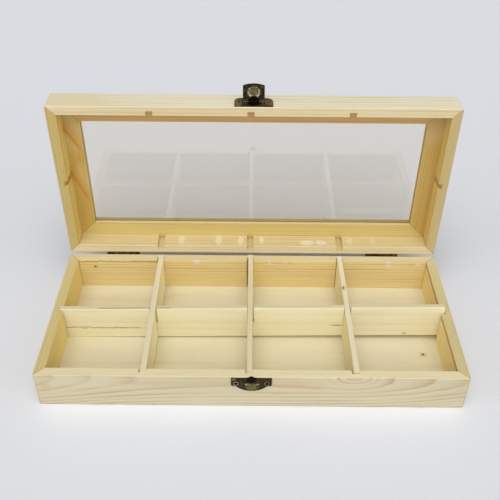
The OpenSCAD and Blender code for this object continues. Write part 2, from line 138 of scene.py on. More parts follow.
# %% [markdown]
# ## One way to add a node
#
# Every node is made by one method, which takes the node's type, its settings and what goes into
# its sockets. The helpers after it are the few nodes that wood and metal need again and again:
# where a point lies, a smooth noise, and one colour laid over another by a mask. The place comes
# from the object's own coordinates, so grain and marks ride with a board when it is lifted out.

# %% Wrap a material in a class
MM = 0.001
# The sockets of a Mix node between its mask and its two colours
SKIPPED = [None] * 5


class Shader:
    """A material, or the world, and the one way to add nodes to it."""

    def __init__(self, owner):
        self.owner = owner
        owner.use_nodes = True
        self.tree = owner.node_tree
        self.tree.nodes.clear()

    def node(self, kind, settings, *values, output=0, **named):
        """Add a node, with values for its sockets in order or by name, and give one of its outputs."""
        node = self.tree.nodes.new(kind)
        for name, value in settings.items():
            if name == "stops":
                self.set_stops(node.color_ramp, value)
            else:
                setattr(node, name, value)
        pairs = list(zip(node.inputs, values))
        pairs += [(node.inputs[name.replace("_", " ")], value) for name, value in named.items()]
        for socket, value in pairs:
            if isinstance(value, Wire):
                self.tree.links.new(value.socket, socket)
            elif value is not None:
                spread = socket.type == "VECTOR" and not isinstance(value, tuple)
                socket.default_value = (value, value, value) if spread else value
        return Wire(self, node.outputs[output])

    def set_stops(self, ramp, stops):
        while len(ramp.elements) < len(stops):
            ramp.elements.new(1)
        for element, (place, value) in zip(ramp.elements, stops):
            element.position = place
            element.color = (value, value, value, 1)

    def place(self):
        """Where a point lies in the box's own frame, in millimetres."""
        return self.node("ShaderNodeTexCoord", {}, output="Object") * (1 / MM)

    def noise(self, place, detail=2, rough=0.5):
        """Smooth noise, about -0.5 to 0.5, one lump to each unit of place."""
        return self.node("ShaderNodeTexNoise", {}, place, None, 1, detail, rough) - 0.5

    def vector(self, x, y, z):
        return self.node("ShaderNodeCombineXYZ", {}, x, y, z)

    def mix(self, mask, low, high):
        """Colour low where the mask is 0 and high where it is 1."""
        return self.node("ShaderNodeMix", {"data_type": "RGBA"}, mask, *SKIPPED, low, high, output=2)

    def finish(self, surface, kind="ShaderNodeOutputMaterial"):
        end = self.tree.nodes.new(kind)
        self.tree.links.new(surface.socket, end.inputs[0])
        return self.owner


def new_shader(name):
    return Shader(bpy.data.materials.new(name))


print("sockets skipped in a Mix node:", len(SKIPPED))

# %% [markdown]
# ## Colours
#
# A screen names a colour by three numbers from 0 to 255, and those are easy to judge by eye. A
# shader wants the share of light itself, which isn't the same: a grey of 128 sends out only about a
# fifth of white's light. Shares could be typed in directly, but nobody reads them at a glance, so
# one small function works them out.

# %% Name a colour
def paint(red, green, blue):
    """A colour as a picture editor names it, 0 to 255, in the linear light a shader wants."""
    def linear(value):
        value = value / 255
        return value / 12.92 if value <= 0.04045 else ((value + 0.055) / 1.055) ** 2.4
    return (linear(red), linear(green), linear(blue), 1)


print("a grey of 128 sends out", round(paint(128, 128, 128)[0], 2), "of white's light")

# %% [markdown]
# ## Pine
#
# A tree adds a ring each year: a wide pale band in spring and a thin amber one in late summer. A
# board is a flat cut through those rings, which show as lines where it is cut across them and as
# flames where it is cut along them. So the shader doesn't draw lines on a face. It works out how
# far each point of the board lies from the pith, the tree's middle, and colours it by its ring.
# The lines then run on round the edges, as in sawn wood. All of a board's noises are drawn out
# along its grain, because a trunk changes slowly in its length and quickly across.

# %% Describe the boards
ACROSS = {"X": ("Y", "Z"), "Y": ("X", "Z"), "Z": ("X", "Y")}
# Lumps to a millimetre along and across the grain
WANDER = (0.009, 0.03)


class Board:
    """How one board was cut: the pith runs along the grain, past these two places in millimetres."""

    def __init__(self, grain, pith, ring, lines, pale, amber, seed, wave=1.5):
        self.grain = grain
        self.pith = pith
        self.ring = ring
        self.lines = lines
        self.pale = pale
        self.amber = amber
        self.seed = seed
        self.wave = wave

    def split(self, place):
        """The place along the grain and the two places across it."""
        axes = place.axes()
        return [axes[name] for name in (self.grain, *ACROSS[self.grain])]

    def noise(self, shader, cut, lumps, detail=3, rough=0.5):
        """Noise that is drawn out along the grain."""
        along, first, second = cut
        spot = shader.vector(along * lumps[0] + self.seed, first * lumps[1], second * lumps[1])
        return shader.noise(spot, detail, rough)

    def pith_distance(self, shader, cut):
        """How far a point lies from the pith, in a trunk that isn't quite straight or round."""
        wander = self.noise(shader, cut, WANDER) * (self.wave * 2)
        one = cut[1] - self.pith[0] + wander
        two = cut[2] - self.pith[1] + wander
        return (one * one + two * two) ** 0.5


print("across a board whose grain runs along X lie", ACROSS["X"])

# %% [markdown]
# ## Knots, cracks and glue
#
# What tells one board from the next is its faults. A branch leaves a dark knot, and a hump in the
# trunk turns straight rings into nested flames. A crack is a dark line that wavers along the grain,
# and glue that was squeezed out of a joint dries to a pale smear. They could be painted on by hand,
# but a painting needs an image. So each one is a small class with two methods: `bend` moves the
# rings before they are drawn, and `stain` lays a colour over the finished wood.

# %% Swells and spots
class Mark:
    """A mark on a board or on metal. By itself it changes nothing."""

    def bend(self, shader, place, depth):
        return depth

    def stain(self, shader, place, colour):
        return colour


class Swell(Mark):
    """A hump in the trunk, which turns straight rings into nested flames."""

    def __init__(self, middle, reach, lift):
        self.middle = middle
        self.reach = reach
        self.lift = lift

    def bend(self, shader, place, depth):
        away = ((place - self.middle) / self.reach).length()
        hump = shader.node("ShaderNodeMath", {"operation": "EXPONENT"}, away * away * -1)
        return depth + hump * self.lift


class Spot(Mark):
    """A knot, a stain, a dab of dried glue, or a patch of painted light or shade, with a ragged edge.
    """

    LUMPS = 0.45

    def __init__(self, middle, size, colour, strength, ragged=0.5, core=0.4):
        self.middle = middle
        self.size = size
        self.colour = colour
        self.strength = strength
        self.ragged = ragged
        self.core = core

    def stain(self, shader, place, colour):
        away = ((place - self.middle) / self.size).length()
        away = away + shader.noise(place * self.LUMPS + self.size[0], detail=3) * self.ragged
        mask = 1 - away.smooth(self.core, 1)
        return shader.mix(mask * self.strength, colour, paint(*self.colour))


print("a spot's edge has a lump every", round(1 / Spot.LUMPS, 1), "mm")

# %% [markdown]
# ## Streaks
#
# A crack is long, thin and seldom straight. It could be cut into the board as a groove, but at that
# width it would take more faces than the whole box. So its colour is laid along a straight line,
# and a noise sways the line on its way and can break it up.

# %% Streaks
class Streak(Mark):
    """A crack or a coloured line from one place to another, wavering by sway on its way."""

    RIPPLES = 0.11
    GAPS = 0.16
    CORE = 0.25
    BREAKS = (-0.12, 0.1)

    def __init__(self, start, end, width, colour, strength, sway=(0, 0, 0), broken=0, fade=6):
        self.start = start
        self.length = (Vector(end) - Vector(start)).length
        self.direction = tuple((Vector(end) - Vector(start)) / self.length)
        self.width = width
        self.colour = colour
        self.strength = strength
        self.sway = sway
        self.broken = broken
        self.fade = fade

    def stain(self, shader, place, colour):
        ripple = shader.noise(place * self.RIPPLES + self.width, detail=3, rough=0.6)
        shifted = place - self.start + shader.vector(*[ripple * part * 2 for part in self.sway])
        along = shifted.dot(self.direction)
        run = shader.node("ShaderNodeVectorMath", {"operation": "SCALE"}, self.direction, Scale=along)
        off = (shifted - run).length()
        mask = 1 - off.smooth(self.width * self.CORE, self.width)
        before_end = 1 - along.smooth(self.length - self.fade, self.length)
        mask = mask * along.smooth(0, self.fade) * before_end
        if self.broken:
            gaps = shader.noise(place * self.GAPS + self.length)
            mask = mask * gaps.smooth(*[limit * self.broken for limit in self.BREAKS])
        return shader.mix(mask * self.strength, colour, paint(*self.colour))


print("a streak wavers every", round(1 / Streak.RIPPLES), "mm and breaks every", round(1 / Streak.GAPS))

# %% [markdown]
# ## Sides, steps and mitres
#
# The lamps don't give each side of a board the brightness it should have, so light and shade are also
# painted into the colour by the way a face points. One mark makes the side that faces one way lighter
# or darker, as painted light and shade, and on a few faces brings a board's colour back to that of the
# rest of the box; it can also lay a sanded colour over the rings. Another does the same for one step of
# a stepped frame that faces the front, such as its face or the ledge behind that, where it paints the
# shade under the rim. Two more materials on one board could do the same, but the rings would then have
# to be matched twice. Where two boards meet at a corner, a fine dark line shows between them.

# %% Sides, steps and mitres
# A surface faces a way from the first of these shares of its normal, and wholly from the second
FACING = (0.6, 0.8)


class StepShading(Mark):
    """One step of a frame's front, between two depths: its colour times a factor, as painted light and
    shade on that step.
    """

    SOFT = 0.4

    def __init__(self, near, far, factor):
        self.near = near
        self.far = far
        self.factor = factor

    def stain(self, shader, place, colour):
        depth = place.axes()["Y"]
        front = shader.node("ShaderNodeTexCoord", {}, output="Normal").axes()["Y"] * -1
        mask = depth.smooth(self.near - self.SOFT, self.near + self.SOFT) * front.smooth(*FACING)
        mask = mask * (1 - depth.smooth(self.far - self.SOFT, self.far + self.SOFT))
        return shader.mix(mask, colour, colour.toned(self.factor))


class Side(Mark):
    """One side of a board: its colour times a factor, mostly as painted light and shade, with its lines
    half sanded away if plain.
    """

    COAT = 0.5

    def __init__(self, facing, factor, plain=None):
        self.sign = -1 if facing[0] == "-" else 1
        self.axis = facing[1]
        self.factor = factor
        self.plain = plain

    def stain(self, shader, place, colour):
        normal = shader.node("ShaderNodeTexCoord", {}, output="Normal")
        mask = (normal.axes()[self.axis] * self.sign).smooth(*FACING)
        if self.plain:
            colour = shader.mix(mask * self.COAT, colour, paint(*self.plain))
        return shader.mix(mask, colour, colour.toned(self.factor))


class Mitre(Mark):
    """The fine dark line where two boards meet corner to corner in a frame."""

    COLOUR = (150, 112, 62)
    STRENGTH = 0.55
    EDGE = (0.15, 0.7)

    def __init__(self, second_axis, middle, half):
        self.second_axis = second_axis
        self.middle = middle
        self.half = half

    def stain(self, shader, place, colour):
        axes = (place - self.middle).size().axes()
        off = (self.half[0] - axes["X"] - (self.half[1] - axes[self.second_axis])).size()
        mask = 1 - off.smooth(*self.EDGE)
        return shader.mix(mask * self.STRENGTH, colour, paint(*self.COLOUR))


print("kinds of mark on wood:", [kind.__name__ for kind in (Swell, Spot, Streak, StepShading, Side, Mitre)])

# %% [markdown]
# ## A year's late wood
#
# The year's fraction runs from 0 to 1 across each ring. A sine wave over it would be simple, but
# would rise and fall alike. A colour ramp can be lopsided: it comes up slowly, as growth slows down
# in summer, and ends sharply with winter. No two rings are alike, so a noise gives each one its own
# strength, which also fades and comes back along the board.

# %% Late wood
LATE_WOOD = [(0, 0.0), (0.35, 0.05), (0.72, 0.55), (0.88, 1), (0.95, 0.5), (1, 0.0)]
# How far rings crowd or spread, in rings, and the lumps of that noise to one ring
STRETCH = 1.2
STRETCH_LUMPS = 0.3
# A step in the noise so long that neighbouring years have nothing in common
YEAR_STEP = 5.37
# Lumps to a millimetre along the grain, as one year's late wood fades and comes back
YEAR_FADE = 0.008
YEAR_MEAN = 0.55
YEAR_SPREAD = 1.6
FAINT_TO_STRONG = (-0.1, 1.1)
LINES_GAIN = 1.5


def late_wood(shader, board, along, depth):
    """Where the amber late wood lies, and the same with each ring at its own strength."""
    stretch = shader.noise(shader.vector(depth * (STRETCH_LUMPS / board.ring), board.seed, 0), detail=1)
    rings = depth / board.ring + stretch * STRETCH
    year = rings.math("FRACT", rings)
    number = rings.math("FLOOR", rings)
    late = shader.node("ShaderNodeValToRGB", {"stops": LATE_WOOD}, year)
    own = shader.noise(shader.vector(number * YEAR_STEP, along * YEAR_FADE + board.seed, board.seed))
    own_strength = (own * YEAR_SPREAD + YEAR_MEAN).smooth(*FAINT_TO_STRONG)
    return late, late * own_strength * (board.lines * LINES_GAIN)


print("late wood is deepest at", max(LATE_WOOD, key=lambda stop: stop[1])[0], "of a year")

# %% [markdown]
# ## A finished board
#
# Fine fibres and broad patches go over the rings, then the faults. Sanded wood is dull, a little
# rougher where a fibre stands up, and that is by a few hundredths of a millimetre. So small a height
# isn't worth a mesh, and a bump shows it as well.

# %% Pine
# Lumps to a millimetre along and across the grain
FIBRE = (0.03, 1.1)
BAND = (0.006, 0.33)
PATCH = (0.012, 0.05)
FIBRE_SHARE = 0.45
BAND_SHARE = 0.4
PATCH_SHARE = 0.5
PALE_TO_AMBER = (-0.25, 1.25)
WOOD_ROUGHNESS = 0.6
FIBRE_ROUGHNESS = 0.12
LATE_RELIEF = -0.35
FIBRE_RELIEF = 0.8
RELIEF_STRENGTH = 0.12
RELIEF_HEIGHT = 0.0004
WOOD_IOR = 1.45


def pine(name, board, marks):
    """Sanded, unfinished pine cut as the board says, with its faults on top."""
    shader = new_shader(name)
    place = shader.place()
    cut = board.split(place)
    depth = board.pith_distance(shader, cut)
    for mark in marks:
        depth = mark.bend(shader, place, depth)
    late, strength = late_wood(shader, board, cut[0], depth)
    fibre = board.noise(shader, cut, FIBRE, detail=4, rough=0.6)
    band = board.noise(shader, cut, BAND)
    patch = board.noise(shader, cut, PATCH)
    tone = strength + fibre * FIBRE_SHARE + band * BAND_SHARE + patch * PATCH_SHARE
    colour = shader.mix(tone.smooth(*PALE_TO_AMBER), paint(*board.pale), paint(*board.amber))
    for mark in marks:
        colour = mark.stain(shader, place, colour)
    relief = late * LATE_RELIEF + fibre * FIBRE_RELIEF
    bump = shader.node("ShaderNodeBump", {}, Strength=RELIEF_STRENGTH, Distance=RELIEF_HEIGHT,
                       Height=relief)
    rough = WOOD_ROUGHNESS + fibre * FIBRE_ROUGHNESS
    return shader.finish(shader.node("ShaderNodeBsdfPrincipled", {}, Base_Color=colour, Roughness=rough,
                                     Normal=bump, IOR=WOOD_IOR))


print("a fibre is about", round(1 / FIBRE[1], 1), "mm wide and", round(1 / FIBRE[0]), "mm long")

# %% [markdown]
# ## Glass
#
# A pane is nearly all clear. What shows is the light that its two faces throw back, more of it at a
# shallow angle, and a faint warm grey of its own. A flat pane doesn't need bent light, so the shader
# mixes a see-through one with a mirror, by how far the face is turned away. The plain Fresnel node
# won't do here: at a back face it takes the ray to be inside the glass, and turns the lower part of
# the pane into a dark mirror.

# %% Glass
GLASS_TINT = (0.97, 0.95, 0.915, 1)
MIRROR_TINT = (0.95, 0.95, 0.93, 1)
MIRROR_ROUGHNESS = 0.015
FACE_ON = 0.07
STEEPNESS = 5


def clear_glass():
    shader = new_shader("clear_glass")
    through = shader.node("ShaderNodeBsdfTransparent", {}, GLASS_TINT)
    mirror = shader.node("ShaderNodeBsdfGlossy", {}, MIRROR_TINT, MIRROR_ROUGHNESS)
    turned = shader.node("ShaderNodeLayerWeight", {}, 0.5, output="Facing")
    thrown_back = turned ** STEEPNESS * (1 - FACE_ON) + FACE_ON
    return shader.finish(shader.node("ShaderNodeMixShader", {}, thrown_back, through, mirror))


print("seen face on, the glass throws back", FACE_ON, "of the light")

# %% [markdown]
# ## Antique bronze
#
# Small box hardware is stamped steel with a brown plating that is rubbed back, so that raised parts and
# edges turn olive and shine a little. Noise stands for the uneven plating. Where hands and the die have
# rubbed it is no accident, so those places are marks too, of the same kinds as on the wood. Two more
# kinds are painted highlights: a bright ring round each nail, and a bright line round a pressed form.
# Black marks are painted shade in the dark hollows.

# %% Marks on bronze
class RingHighlight(Mark):
    """A painted highlight: a bright ring where the metal, pressed down round a nail, catches the light.
    """

    CORE = 0.3

    def __init__(self, middle, radius, width, colour, strength):
        self.middle = middle
        self.radius = radius
        self.width = width
        self.colour = colour
        self.strength = strength

    def stain(self, shader, place, colour):
        off = ((place - self.middle).length() - self.radius).size()
        mask = 1 - off.smooth(self.width * self.CORE, self.width)
        return shader.mix(mask * self.strength, colour, paint(*self.colour))


class RimHighlight(Mark):
    """A painted highlight: a bright line round a pressed form with round corners that stands upright,
    facing the front.
    """

    CORE = 0.4
    DEEP = 1000

    def __init__(self, middle, half, corner, width, colour, strength):
        self.middle = middle
        self.half = half
        self.corner = corner
        self.width = width
        self.colour = colour
        self.strength = strength

    def stain(self, shader, place, colour):
        inside = (self.half[0] - self.corner, self.DEEP, self.half[1] - self.corner)
        beyond = (place - self.middle).size() - inside
        beyond = beyond.math("MAXIMUM", beyond, (0, 0, 0))
        off = (beyond.length() - self.corner).size()
        mask = 1 - off.smooth(self.width * self.CORE, self.width)
        return shader.mix(mask * self.strength, colour, paint(*self.colour))


print("kinds of mark on bronze:", [kind.__name__ for kind in (Spot, Streak, RingHighlight, RimHighlight)])

# %% [markdown]
# ## The metal itself
#
# Two noises make it: a slow one for clouds in the plating and a fine one for its grit. The grit
# also darkens the marks, so rubbed places look as pitted as the rest. The metal could be fully
# metallic, but the dull plating throws back little of the room, so part of it is plain paint.

# %% Bronze
# Lumps to a millimetre
CLOUDS = 0.22
GRIT = 0.8
GRIT_SHARE = 1.3
DARK_TO_OLIVE = (-0.25, 0.4)
GRIT_EDGE = (-0.18, 0.18)
GRIT_DARKEST = 0.2
GRIT_SPREAD = 1.7
PLATING_ROUGHNESS = 0.42
CLOUD_ROUGHNESS = 0.25
METALLIC = 0.7
SPECULAR = 0.1
GRIT_STRENGTH = 0.15
GRIT_HEIGHT = 0.0002


def antique_bronze(name, dark=(34, 27, 15), olive=(74, 64, 37), marks=()):
    shader = new_shader(name)
    place = shader.place()
    cloud = shader.noise(place * CLOUDS, detail=3)
    grit = shader.noise(place * GRIT, detail=4, rough=0.65)
    rubbed = (cloud + grit * GRIT_SHARE).smooth(*DARK_TO_OLIVE)
    colour = shader.mix(rubbed, paint(*dark), paint(*olive))
    for mark in marks:
        colour = mark.stain(shader, place, colour)
    speckle = grit.smooth(*GRIT_EDGE) * GRIT_SPREAD + GRIT_DARKEST
    colour = colour.toned(shader.vector(speckle, speckle, speckle))
    rough = PLATING_ROUGHNESS + cloud * CLOUD_ROUGHNESS
    bump = shader.node("ShaderNodeBump", {}, Strength=GRIT_STRENGTH, Distance=GRIT_HEIGHT, Height=grit)
    return shader.finish(shader.node("ShaderNodeBsdfPrincipled", {}, Base_Color=colour,
                                     Metallic=METALLIC, Roughness=rough, Specular_IOR_Level=SPECULAR,
                                     Normal=bump))


print("a grain of grit is about", round(1 / GRIT, 1), "mm wide, a cloud", round(1 / CLOUDS, 1), "mm")

# %% [markdown]
# ## Where the pieces lie
#
# Everything is in millimetres from here on: the box stands on z = 0, and the lid stands open behind
# it. The face that a mark lies on is measured from the piece itself, so that the mark can't sink
# into the wood. Its place on that face is a plain pair of numbers, read off the real box.

# %% Measure the pieces
# How far the lid frame's ledge lies behind the face that meets the base
LEDGE_STEP = 18.5


def span(node):
    """The lowest and the highest corner of a piece, in millimetres."""
    low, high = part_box(node)
    return [value / MM for value in low], [value / MM for value in high]


HALF_W = span("left_wall")[0][0] * -1
HALF_D = span("front_wall")[0][1] * -1
RIM = span("front_wall")[1][2]
WALL = span("front_wall")[1][1] - span("front_wall")[0][1]
PANEL_TOP = span("bottom_panel")[1][2]
MATING = span("lid_front_rail")[0][1]
LEDGE = MATING + LEDGE_STEP
LID_LOW = span("lid_back_rail")[0][2]
LID_HIGH = span("lid_front_rail")[1][2]
LONG_FRONT = span("long_divider")[0][1]
BACK_INSIDE = HALF_D - WALL
print("rim at", round(RIM, 2), "lid from", round(LID_LOW, 2), "to", round(LID_HIGH, 2),
      "mating face at", round(MATING, 2))

# %% [markdown]
# ## The base
#
# The base is four walls with mitred corners and a panel under them. One wood for all would be
# quicker, but then the rings would run on from board to board like a print. So each board gets its
# own cut, tone and faults. Some faults come back on several boards, and those get a name here.

# %% Faults that come back
DRESSED = []
# How far a mark on a face reaches into the wood
SKIN = 2
# How much bigger than a knot its halo is
HALO = 3
CRACK = (140, 104, 58)
GLUE = (232, 222, 200)
PINK = (214, 168, 134)
KNOT = (96, 58, 36)
BASE_MITRE = Mitre("Y", (0, 0, 0), (HALF_W, HALF_D))


def knot(place, size, halo=PINK):
    """A small knot in its browner halo."""
    wide = tuple(value * HALO for value in size)
    return [Spot(place, wide, halo, 0.45, ragged=0.8),
            Spot(place, size, KNOT, 0.95, ragged=0.4, core=0.6)]


def dab(x, z, half_x, half_z, strength, core=0.4):
    """A dab of glue on the inside of the back wall."""
    return Spot((x, BACK_INSIDE, z), (half_x, SKIN, half_z), GLUE, strength, core=core)


def dress(node, material):
    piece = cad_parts[node]
    piece.data.materials.clear()
    piece.data.materials.append(material)
    DRESSED.append(node)


def dress_board(node, board, marks):
    dress(node, pine(node + "_pine", board, marks))
    print(node, "is cut along", board.grain, "and has", len(marks), "marks")


print("colours of faults:", CRACK, GLUE, PINK, KNOT)

# %% [markdown]
# ## The front wall
#
# The widest face of the box was sawn near the outside of the trunk, so its rings run out in long
# flames. A print of wood could show them, but wouldn't follow them round the edge. Three swells push
# the rings instead, one beyond each end and a small one at the rim, and a few streaks and pale
# spots break up what is left.

# %% Dress the front wall
dress_board(
    "front_wall",
    Board("X", (-39, 36), ring=2.3, wave=0.5, lines=0.75, pale=(222, 210, 175), amber=(186, 152, 108),
          seed=1.9),
    # Painted shade darkens the front face, and painted light brightens the rim's top, which also gets a
    # sanded colour.
    [Side("-Y", (0.85, 0.87, 0.88)),
     Side("+Z", (1.2, 1.21, 1.15), plain=(210, 197, 162)),
     Swell((90, -HALF_D, RIM + 1), (21, 1.4, 12), -7.5),
     Swell((-HALF_W - 60, -HALF_D, 15), (115, 400, 400), -9.5),
     Swell((HALF_W + 40, -HALF_D, 15), (80, 400, 400), 7),
     Spot((98, -HALF_D, 22), (80, 12, 16), (212, 197, 162), 0.35, ragged=0.4),
     Spot((-158, -HALF_D, 32), (60, 12, 10), (208, 199, 168), 0.6),
     Streak((-118, -HALF_D, 29), (-62, -HALF_D, 30), 3.2, (196, 172, 138), 0.5, sway=(0, 0, 1.5),
            fade=18),
     Streak((12, -HALF_D, 28.6), (70, -HALF_D, 24.6), 3.4, (198, 164, 122), 0.6, sway=(0, 0, 1.5),
            fade=14),
     Spot((-181, -HALF_D, 24), (7, 8, 9), (196, 172, 128), 0.5, ragged=0.9),
     BASE_MITRE])

# %% [markdown]
# ## The back wall
#
# A crack wavers along its inner face under the rim, and beside it lie a knot, dabs of dried glue and
# pink lines. They are too few and too different for a noise to scatter, so each one is placed one by
# one. The wall itself was cut from yellower wood than the front.

# %% Dress the back wall
dress_board(
    "back_wall",
    Board("X", (160, 90), ring=2.0, wave=0.6, lines=0.7, pale=(222, 198, 140), amber=(196, 152, 84),
          seed=4.1),
    # Painted light brightens the inner face, and pales and cools the rim's top.
    [Side("-Y", (1.14, 1.2, 1.23)),
     Side("+Z", (0.93, 1.05, 1.3)),
     *knot((-163.9, BACK_INSIDE, 29.5), (1.5, SKIN, 1.3)),
     Streak((-183, BACK_INSIDE, 36), (-95, BACK_INSIDE, 36.4), 0.9, CRACK, 0.75, sway=(0, 0, 3.2)),
     dab(-57.9, 37, 5.4, 3.6, 0.8),
     dab(141, 35.8, 4.6, 4, 0.95, core=0.6),
     dab(153, 36, 3.4, 2.6, 0.75),
     dab(172, 35.6, 5, 2.4, 0.75),
     dab(20, 35.4, 9, 2.6, 0.5),
     Streak((6, BACK_INSIDE, 35.8), (46, BACK_INSIDE, 36), 1.8, PINK, 0.7, sway=(0, 0, 2.4),
            broken=0.6),
     Streak((118, BACK_INSIDE, 35.6), (176, BACK_INSIDE, 36), 1.8, PINK, 0.6, sway=(0, 0, 2.4),
            broken=0.9),
     BASE_MITRE])

# %% [markdown]
# ## The side walls and the panel
#
# The side walls' grain runs from front to back, so a mitre shows where one board's lines stop and
# the next one's begin. The right wall has an amber line under its rim, where a ring was cut
# lengthwise. The rings could be moved until one lies there, but all the others would move with it,
# so a streak does it. The panel is a thin sheet with hardly any rings and one knot.

# %% Dress the side walls and the panel
dress_board(
    "left_wall",
    Board("Y", (-300, 90), ring=2.6, wave=1.2, lines=0.42, pale=(214, 188, 128), amber=(188, 142, 78),
          seed=7.7),
    # Painted light brightens the inner face and tints the top.
    [Side("+X", (1.39, 1.5, 1.27)),
     Side("+Z", (0.97, 1.07, 1.1)),
     BASE_MITRE])
dress_board(
    "right_wall",
    Board("Y", (300, 60), ring=2.6, wave=1.2, lines=0.36, pale=(216, 196, 142), amber=(182, 150, 86),
          seed=2.9),
    # Painted light brightens the inner face and tints the top.
    [Side("-X", (1.38, 1.38, 1.28)),
     Side("+Z", (0.95, 1.01, 1.03)),
     Streak((HALF_W - WALL, -HALF_D, RIM - 3.2), (HALF_W - WALL, HALF_D, RIM - 3.2), 3.2,
            (178, 136, 50), 0.8, sway=(0, 0, 0.4), fade=1),
     BASE_MITRE])
dress_board(
    "bottom_panel",
    Board("X", (10, -300), ring=7, wave=2, lines=0.3, pale=(222, 214, 184), amber=(204, 185, 140),
          seed=3.3),
    knot((165, -21.5, PANEL_TOP), (1.8, 1.5, SKIN), halo=(204, 164, 98)))

# %% [markdown]
# ## The long divider
#
# It is the palest board of all, with two cracks in its front and one along its top. Its top edge is
# darkened by painted shade, and its face is lightened a little by painted light. A second material on
# that edge could do this, but a side tone keeps the rings running over it.

# %% Dress the long divider
# Where the crack in the long divider's top edge runs, just behind its front
TOP_CRACK = LONG_FRONT + 1.4
dress_board(
    "long_divider",
    Board("X", (130, 70), ring=3.4, wave=1.0, lines=0.3, pale=(240, 232, 196), amber=(216, 192, 138),
          seed=5.9),
    # Painted light on the front face, painted shade on the top edge.
    [Side("-Y", (1.05, 1.06, 1.05)),
     Side("+Z", (0.79, 0.79, 0.76)),
     Streak((-186, LONG_FRONT, 16.2), (-106, LONG_FRONT, 16), 0.7, CRACK, 0.8, sway=(0, 0, 1.8)),
     Streak((-168, LONG_FRONT, 14.3), (-126, LONG_FRONT, 14.6), 0.6, CRACK, 0.7, sway=(0, 0, 1.2),
            broken=0.7),
     Streak((-150, TOP_CRACK, 40.2), (-74, TOP_CRACK, 41.6), 0.9, CRACK, 0.7, sway=(0, 0.4, 0)),
     Streak((74, LONG_FRONT, 21.8), (90, LONG_FRONT, 21.8), 1.0, (132, 96, 40), 0.9, fade=8),
     Spot((148.8, LONG_FRONT, 11.8), (2.4, SKIN, 1.3), (150, 112, 62), 0.8)])

# %% [markdown]
# ## The cross dividers
#
# The three were cut from other boards, and the right one has a knot in its top edge. One wood for all
# three would do from afar. Close up their rings must differ, so each has its own pith and seed. Painted
# light makes their sides warmer and brighter, the same on two of them, and tones their tops.

# %% Dress the cross dividers
# Painted light: a warmer, brighter side facing right.
WARM_LIT_SIDE = Side("+X", (1.3, 1.34, 1.15))
dress_board(
    "cross_divider_left",
    Board("Y", (-260, 60), ring=3, lines=0.35, pale=(232, 221, 190), amber=(204, 176, 118), seed=6.2),
    [Side("+Z", (0.94, 0.98, 0.97)), WARM_LIT_SIDE])
dress_board(
    "cross_divider_middle",
    Board("Y", (-200, 160), ring=3, lines=0.3, pale=(224, 212, 174), amber=(204, 176, 118), seed=8.4),
    [Side("+Z", (1.0, 0.98, 0.97)), WARM_LIT_SIDE])
dress_board(
    "cross_divider_right",
    Board("Y", (260, -60), ring=3, lines=0.35, pale=(224, 212, 180), amber=(200, 172, 114), seed=9.1),
    # Painted light on the top, and a brighter side facing left.
    [Side("+Z", (1.08, 1.14, 1.2)),
     Side("-X", (1.22, 1.22, 1.0)),
     *knot((89.9, 29.2, 42.7), (1.2, 2.2, 1.6))])

# %% [markdown]
# ## The lid's rails
#
# A rail is stepped: a face that meets the base, and a ledge behind it that frames the glass. Each step
# is lit in its own way, so each gets painted light and shade of its own, and the ledge, in the shade of
# the rim, gets painted shade. Glue that was squeezed out on the inside of the back rail has dried to a
# row of smears, and amber resin runs down the left rail's ledge.

# %% Marks of the lid
AMBER = (204, 152, 62)
DARK_AMBER = (182, 122, 42)
LID_MITRE = Mitre("Z", (0, 0, (LID_LOW + LID_HIGH) / 2), (HALF_W, HALF_D))
# Middle, half sizes and strength of each smear: x, y, half_x, half_y, strength
SMEARS = [(-74.5, 95, 3.9, 9, 0.45), (-35.3, 95, 4.42, 9, 0.45), (-12.3, 95, 3.9, 9, 0.45),
          (9.7, 96, 3.38, 8, 0.45), (56.8, 92, 8.58, 5, 0.55), (71.6, 92, 7.02, 4.5, 0.55),
          (101.8, 95, 3.64, 7, 0.3), (126, 95, 3.9, 6, 0.2)]


def mating_face(*factor):
    """The painted light and shade on the face that meets the base."""
    return StepShading(MATING - 1, MATING + 0.6, factor)


def ledge(*factor):
    """The painted shade on the ledge round the glass, under the rim."""
    return StepShading(LEDGE - 1, LEDGE + 1, factor)


def smear(x, y, half_x, half_y, strength):
    """Dried glue on the inner side of the lid's back rail."""
    return Spot((x, y, LID_LOW + WALL), (half_x, half_y, SKIN), GLUE, strength, ragged=0.7, core=0.6)


def resin(top, bottom):
    """A run of amber resin on the left rail's ledge, with a darker vein a little lower in it."""
    return [Streak((-183, LEDGE, top), (-166, LEDGE, bottom), 8, AMBER, 0.55, sway=(1.2, 0, 0)),
            Streak((-183, LEDGE, top - 4), (-166, LEDGE, bottom - 4), 2.2, DARK_AMBER, 0.5,
                   sway=(1.2, 0, 0))]


print("mating face at y", round(MATING, 2), "ledge at y", round(LEDGE, 2), "smears:", len(SMEARS))

# %% [markdown]
# ## The front and the back rail
#
# The front rail is on top while the lid stands open, and its ledge, in the shade of the rim above it,
# is the most amber of all. A warm lamp could do that, but it would tint the other rails as well, so the
# shade is painted into the ledge's colour, and painted light brightens the rail's top. The back rail
# lies low behind the base and has all the smears.

